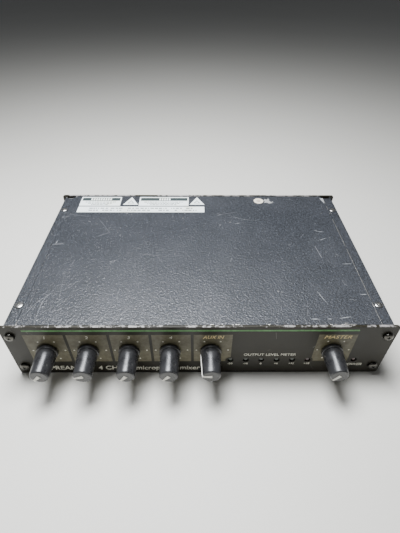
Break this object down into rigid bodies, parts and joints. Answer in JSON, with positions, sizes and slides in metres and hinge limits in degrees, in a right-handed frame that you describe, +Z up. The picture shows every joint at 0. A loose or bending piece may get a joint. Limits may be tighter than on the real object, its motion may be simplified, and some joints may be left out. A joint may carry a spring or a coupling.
{
  "type": "microphone preamp",
  "caption": "Half-rack microphone preamp and mixer: steel case, channel, auxiliary and master knobs, level lights, screwed cover, and microphone, line, phono and mains sockets at the rear.",
  "frame": {"origin": "on the table, under the middle of the whole unit's bounding box", "axes": "+X to the user's right along the front plate, +Y to the rear, +Z up"},
  "size_m": [0.218, 0.162, 0.0439],
  "materials": {
    "black_paint": "fine wrinkle paint, satin, on sheet steel",
    "steel": "plated, satin",
    "black_plastic": "satin",
    "screw_black": "black plated",
    "rail_aluminium": "plain extrusion",
    "foot_rubber": "matt",
    "pot_case": "moulded",
    "light_red": "clear dark red, unlit",
    "board_green": "solder-masked laminate",
    "transformer_iron": "varnished laminations and taped winding",
    "connector_black": "glass-filled, black",
    "plate_paint": "thick plate with satin black paint, worn bright along its edges",
    "contact_silver": "silver plated"
  },
  "bodies": {
    "case": {"aux_phono_jack": "steel", "bottom_tray": "black_paint", "control_board": "board_green", "cover_screw_front_left": "steel", "cover_screw_front_right": "steel", "cover_screw_rear_left": "steel", "cover_screw_rear_right": "steel", "foot_front_left": "foot_rubber", "foot_front_right": "foot_rubber", "foot_rear_left": "foot_rubber", "foot_rear_right": "foot_rubber", "front_panel": "plate_paint", "front_screw_bottom_left": "screw_black", "front_screw_bottom_right": "screw_black", "front_screw_top_left": "screw_black", "front_screw_top_right": "screw_black", "left_rail": "rail_aluminium", "line_phono_jack": "steel", "main_board": "board_green", "mains_transformer": "transformer_iron", "meter_lights": "light_red", "mic_socket_1": "connector_black", "mic_socket_2": "connector_black", "mic_socket_3": "connector_black", "mic_socket_4": "connector_black", "output_contacts": "contact_silver", "output_socket": "connector_black", "pot_aux": "pot_case", "pot_channel_1": "pot_case", "pot_channel_2": "pot_case", "pot_channel_3": "pot_case", "pot_channel_4": "pot_case", "pot_master": "pot_case", "power_inlet": "black_plastic", "power_light": "light_red", "rear_panel": "plate_paint", "rear_screw_bottom_left": "screw_black", "rear_screw_bottom_right": "screw_black", "rear_screw_top_left": "screw_black", "rear_screw_top_right": "screw_black", "right_rail": "rail_aluminium", "top_cover": "black_paint"},
    "control_channel_1": {"knob_channel_1": "black_plastic", "shaft_channel_1": "steel"},
    "control_channel_2": {"knob_channel_2": "black_plastic", "shaft_channel_2": "steel"},
    "control_channel_3": {"knob_channel_3": "black_plastic", "shaft_channel_3": "steel"},
    "control_channel_4": {"knob_channel_4": "black_plastic", "shaft_channel_4": "steel"},
    "control_aux": {"knob_aux": "black_plastic", "shaft_aux": "steel"},
    "control_master": {"knob_master": "black_plastic", "shaft_master": "steel"},
    "latch_1": {"latch_1": "steel"},
    "latch_2": {"latch_2": "steel"},
    "latch_3": {"latch_3": "steel"},
    "latch_4": {"latch_4": "steel"},
    "level_slider": {"level_slider": "black_plastic"},
    "phantom_slider": {"phantom_slider": "black_plastic"}
  },
  "joints": [
    {"name": "turn_channel_1", "type": "hinge", "parent": "case", "child": "control_channel_1", "pos_m": [-0.08665, -0.0635, 0.0232], "axis": [0, 1, 0], "range_deg": [-16, 284]},
    {"name": "turn_channel_2", "type": "hinge", "parent": "case", "child": "control_channel_2", "pos_m": [-0.0634, -0.0635, 0.0232], "axis": [0, 1, 0], "range_deg": [-44, 256]},
    {"name": "turn_channel_3", "type": "hinge", "parent": "case", "child": "control_channel_3", "pos_m": [-0.04015, -0.0635, 0.0232], "axis": [0, 1, 0], "range_deg": [-10, 290]},
    {"name": "turn_channel_4", "type": "hinge", "parent": "case", "child": "control_channel_4", "pos_m": [-0.0169, -0.0635, 0.0232], "axis": [0, 1, 0], "range_deg": [-12, 288]},
    {"name": "turn_aux", "type": "hinge", "parent": "case", "child": "control_aux", "pos_m": [0.00635, -0.0635, 0.0232], "axis": [0, 1, 0], "range_deg": [-62, 238]},
    {"name": "turn_master", "type": "hinge", "parent": "case", "child": "control_master", "pos_m": [0.07585, -0.0635, 0.0232], "axis": [0, 1, 0], "range_deg": [-8, 292]},
    {"name": "push_latch_1", "type": "slide", "parent": "case", "child": "latch_1", "axis": [0, -1, 0], "range_m": [0, 0.0015], "stiffness_N_per_m": 300, "springref_m": -0.001},
    {"name": "push_latch_2", "type": "slide", "parent": "case", "child": "latch_2", "axis": [0, -1, 0], "range_m": [0, 0.0015], "stiffness_N_per_m": 300, "springref_m": -0.001},
    {"name": "push_latch_3", "type": "slide", "parent": "case", "child": "latch_3", "axis": [0, -1, 0], "range_m": [0, 0.0015], "stiffness_N_per_m": 300, "springref_m": -0.001},
    {"name": "push_latch_4", "type": "slide", "parent": "case", "child": "latch_4", "axis": [0, -1, 0], "range_m": [0, 0.0015], "stiffness_N_per_m": 300, "springref_m": -0.001},
    {"name": "slide_level_switch", "type": "slide", "parent": "case", "child": "level_slider", "axis": [1, 0, 0], "range_m": [0, 0.003]},
    {"name": "slide_phantom_switch", "type": "slide", "parent": "case", "child": "phantom_slider", "axis": [1, 0, 0], "range_m": [0, 0.003]}
  ]
}
